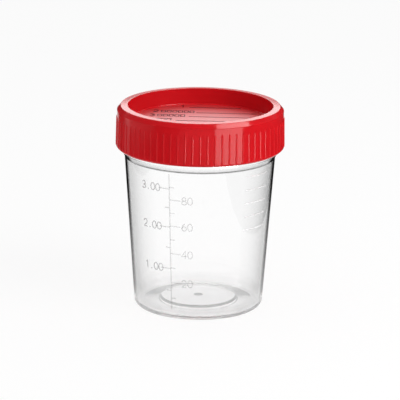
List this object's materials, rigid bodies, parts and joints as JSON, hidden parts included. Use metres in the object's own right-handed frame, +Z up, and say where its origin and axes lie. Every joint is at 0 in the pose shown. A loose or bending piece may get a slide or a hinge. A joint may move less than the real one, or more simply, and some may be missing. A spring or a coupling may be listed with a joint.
{
  "type": "specimen container",
  "caption": "Clear tapered specimen cup with a moulded graduation, closed by a red ribbed screw lid with a recessed writing disc.",
  "frame": {"origin": "on the table, under the centre of the cup's foot ring", "axes": "+Z is up along the cup's axis, -Y is the front with the graduation, +X is to the right seen from the front"},
  "size_m": [0.0616, 0.0616, 0.075],
  "materials": {
    "clear_plastic": "clear colourless moulded polystyrene, polished",
    "red_plastic": "glossy red moulded polyethylene"
  },
  "bodies": {
    "cup": {"container": "clear_plastic"},
    "lid": {"lid": "red_plastic"}
  },
  "joints": [
    {"name": "lid_lift", "type": "slide", "parent": "cup", "child": "lid", "axis": [0, 0, 1], "range_m": [0, 0.03]}
  ]
}
